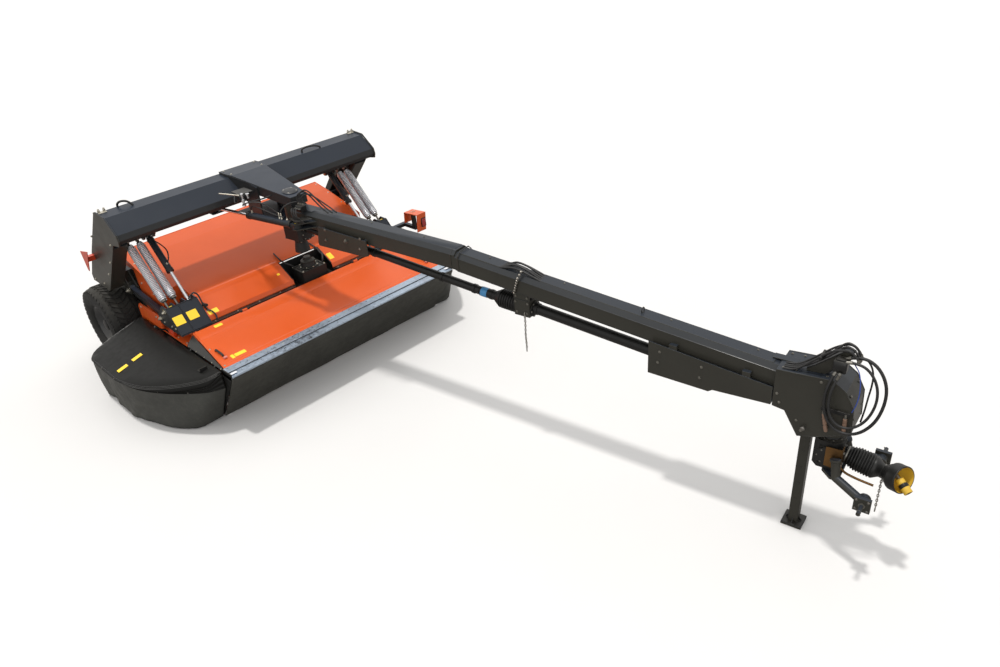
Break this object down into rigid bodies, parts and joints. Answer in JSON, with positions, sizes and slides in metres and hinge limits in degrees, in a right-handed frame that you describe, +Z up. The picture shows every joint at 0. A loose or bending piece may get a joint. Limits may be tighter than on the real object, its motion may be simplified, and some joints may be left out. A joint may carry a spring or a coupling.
{
  "type": "disc mower conditioner",
  "caption": "Trailed disc mower conditioner with a portal frame on two wheels, a swinging centre-pivot drawbar, an orange canopied header and a lower-link hitch.",
  "frame": {"origin": "on the ground under the middle of the machine's overall length and width", "axes": "+X to the machine's left, +Y to the rear, against the direction of travel, +Z up"},
  "size_m": [4.036, 7.9913, 1.913],
  "materials": {
    "bare_steel": "worn steel",
    "black_plastic": "matt, moulded",
    "cast_iron": "cast, painted black",
    "chrome_steel": "hard chrome and bright coils",
    "curtain_fabric": "rubberised cloth",
    "frame_paint": "satin",
    "hose_rubber": "hydraulic hose",
    "orange_paint": "gloss",
    "rim_paint": "silver paint",
    "strip_alu": "anodised",
    "tyre": "tread rubber"
  },
  "bodies": {
    "main_frame": {"cross_beam": "frame_paint", "frame_legs": "frame_paint", "wheel_arms": "frame_paint", "pivot_bracket": "frame_paint", "beam_hangers": "frame_paint", "marker_boards": "orange_paint"},
    "wheel_right": {"tyre_right": "tyre", "rim_right": "rim_paint"},
    "wheel_left": {"tyre_left": "tyre", "rim_left": "rim_paint"},
    "drawbar": {"drawbar_rear": "frame_paint", "drawbar_side_plate": "frame_paint", "drawbar_front": "frame_paint", "shaft_channel": "frame_paint", "drawbar_head": "frame_paint", "drawbar_gearbox": "cast_iron", "shaft_tubes": "black_plastic", "shaft_bellows": "black_plastic", "bearing_stand": "frame_paint", "hose_holder": "frame_paint", "head_hose_outer": "hose_rubber", "head_hose_inner": "hose_rubber", "head_hose_thin": "hose_rubber"},
    "swing_barrel": {"swing_cylinder_barrel": "frame_paint"},
    "swing_rod": {"swing_cylinder_rod": "chrome_steel"},
    "jack": {"jack_leg": "frame_paint"},
    "hitch": {"hitch_gearbox": "cast_iron", "hitch_arms": "frame_paint", "pto_guards": "black_plastic"},
    "pto": {"pto_shaft": "bare_steel"},
    "lower_arms": {"lower_link_arms": "frame_paint"},
    "upper_arms": {"upper_link_arms": "frame_paint"},
    "lift_upper": {"spring_tops": "chrome_steel", "lift_barrels": "frame_paint"},
    "lift_lower": {"lift_rods": "chrome_steel", "spring_hooks": "bare_steel"},
    "header": {"lift_towers": "frame_paint", "hoop_bracket": "orange_paint", "header_gables": "orange_paint", "guard_flanges": "black_plastic", "header_beam": "orange_paint", "rear_hood": "orange_paint", "middle_panel": "black_plastic", "cutter_bar": "bare_steel", "header_gearbox": "cast_iron"},
    "lid": {"canopy_lid": "orange_paint", "lid_strip": "strip_alu", "front_curtain": "curtain_fabric"},
    "guard_right": {"end_guard_right": "black_plastic"},
    "guard_left": {"end_guard_left": "black_plastic"},
    "rotor": {"conditioner_rotor": "bare_steel"},
    "disc_1": {"cutting_disc_1": "bare_steel"},
    "disc_2": {"cutting_disc_2": "bare_steel"},
    "disc_3": {"cutting_disc_3": "bare_steel"},
    "disc_4": {"cutting_disc_4": "bare_steel"},
    "disc_5": {"cutting_disc_5": "bare_steel"},
    "disc_6": {"cutting_disc_6": "bare_steel"},
    "disc_7": {"cutting_disc_7": "bare_steel"},
    "disc_8": {"cutting_disc_8": "bare_steel"}
  },
  "joints": [
    {"name": "wheel_right_spin", "type": "hinge", "parent": "main_frame", "child": "wheel_right", "pos_m": [-1.46, 3.5557, 0.44], "axis": [1, 0, 0], "continuous": true},
    {"name": "wheel_left_spin", "type": "hinge", "parent": "main_frame", "child": "wheel_left", "pos_m": [1.46, 3.5557, 0.44], "axis": [1, 0, 0], "continuous": true},
    {"name": "drawbar_swing", "type": "hinge", "parent": "main_frame", "child": "drawbar", "pos_m": [0, 1.8057, 1.6], "axis": [0, 0, 1], "range_deg": [-33.7, 16.3]},
    {"name": "swing_barrel_turn", "type": "hinge", "parent": "drawbar", "child": "swing_barrel", "pos_m": [-0.16502, 1.50569, 1.6], "axis": [0, 0, 1], "range_deg": [-13.4, 27.5]},
    {"name": "swing_rod_slide", "type": "slide", "parent": "swing_barrel", "child": "swing_rod", "axis": [-0.1922, 0.9814, 0], "range_m": [-0.15, 0.075]},
    {"name": "jack_slide", "type": "slide", "parent": "drawbar", "child": "jack", "axis": [0, 0, 1], "range_m": [0, 0.42]},
    {"name": "hitch_turn", "type": "hinge", "parent": "drawbar", "child": "hitch", "pos_m": [0.80017, -3.42343, 0.9], "axis": [0, 0, 1], "range_deg": [-70, 70]},
    {"name": "pto_spin", "type": "hinge", "parent": "hitch", "child": "pto", "pos_m": [0.81321, -3.8993, 0.72882], "axis": [-0.3866, -0.8124, -0.4364], "continuous": true},
    {"name": "header_lift", "type": "hinge", "parent": "main_frame", "child": "lower_arms", "pos_m": [0, 3.1257, 0.6], "axis": [-1, 0, 0], "range_deg": [0, 27.2]},
    {"name": "header_level", "type": "hinge", "parent": "lower_arms", "child": "header", "pos_m": [0, 2.3557, 0.53], "axis": [-1, 0, 0], "range_deg": [-27.3, 0.1]},
    {"name": "upper_arm_turn", "type": "hinge", "parent": "main_frame", "child": "upper_arms", "pos_m": [0, 3.1857, 0.88], "axis": [-1, 0, 0], "range_deg": [-0.1, 27.3]},
    {"name": "lift_upper_turn", "type": "hinge", "parent": "main_frame", "child": "lift_upper", "pos_m": [0, 2.8257, 1.52], "axis": [-1, 0, 0], "range_deg": [-0.1, 21.6]},
    {"name": "lift_lower_slide", "type": "slide", "parent": "lift_upper", "child": "lift_lower", "axis": [0, -0.6948, -0.7192], "range_m": [-0.256, 0.001]},
    {"name": "lid_hinge", "type": "hinge", "parent": "header", "child": "lid", "pos_m": [0, 1.9777, 0.752], "axis": [1, 0, 0], "range_deg": [-36, 0]},
    {"name": "guard_right_hinge", "type": "hinge", "parent": "header", "child": "guard_right", "pos_m": [-1.405, 2.2057, 0.628], "axis": [0, -1, 0], "range_deg": [-45, 0]},
    {"name": "guard_left_hinge", "type": "hinge", "parent": "header", "child": "guard_left", "pos_m": [1.405, 2.2057, 0.628], "axis": [0, 1, 0], "range_deg": [-45, 0]},
    {"name": "rotor_spin", "type": "hinge", "parent": "header", "child": "rotor", "pos_m": [0, 2.4857, 0.47], "axis": [1, 0, 0], "continuous": true},
    {"name": "disc_1_spin", "type": "hinge", "parent": "header", "child": "disc_1", "pos_m": [-1.5925, 2.0057, 0.09], "axis": [0, 0, 1], "continuous": true},
    {"name": "disc_2_spin", "type": "hinge", "parent": "header", "child": "disc_2", "pos_m": [-1.1375, 2.0057, 0.09], "axis": [0, 0, 1], "continuous": true},
    {"name": "disc_3_spin", "type": "hinge", "parent": "header", "child": "disc_3", "pos_m": [-0.6825, 2.0057, 0.09], "axis": [0, 0, 1], "continuous": true},
    {"name": "disc_4_spin", "type": "hinge", "parent": "header", "child": "disc_4", "pos_m": [-0.2275, 2.0057, 0.09], "axis": [0, 0, 1], "continuous": true},
    {"name": "disc_5_spin", "type": "hinge", "parent": "header", "child": "disc_5", "pos_m": [0.2275, 2.0057, 0.09], "axis": [0, 0, 1], "continuous": true},
    {"name": "disc_6_spin", "type": "hinge", "parent": "header", "child": "disc_6", "pos_m": [0.6825, 2.0057, 0.09], "axis": [0, 0, 1], "continuous": true},
    {"name": "disc_7_spin", "type": "hinge", "parent": "header", "child": "disc_7", "pos_m": [1.1375, 2.0057, 0.09], "axis": [0, 0, 1], "continuous": true},
    {"name": "disc_8_spin", "type": "hinge", "parent": "header", "child": "disc_8", "pos_m": [1.5925, 2.0057, 0.09], "axis": [0, 0, 1], "continuous": true}
  ],
  "couplings": [
    {"joint": "swing_barrel_turn", "follows": "drawbar_swing", "ratio": -0.81},
    {"joint": "swing_rod_slide", "follows": "drawbar_swing", "m_per_rad": 0.242},
    {"joint": "header_level", "follows": "header_lift", "ratio": -1},
    {"joint": "upper_arm_turn", "follows": "header_lift", "ratio": 1},
    {"joint": "lift_upper_turn", "follows": "header_lift", "ratio": 0.784},
    {"joint": "lift_lower_slide", "follows": "header_lift", "m_per_rad": -0.536},
    {"joint": "disc_2_spin", "follows": "disc_1_spin", "ratio": -1},
    {"joint": "disc_3_spin", "follows": "disc_1_spin", "ratio": 1},
    {"joint": "disc_4_spin", "follows": "disc_1_spin", "ratio": -1},
    {"joint": "disc_5_spin", "follows": "disc_1_spin", "ratio": 1},
    {"joint": "disc_6_spin", "follows": "disc_1_spin", "ratio": -1},
    {"joint": "disc_7_spin", "follows": "disc_1_spin", "ratio": 1},
    {"joint": "disc_8_spin", "follows": "disc_1_spin", "ratio": -1}
  ]
}
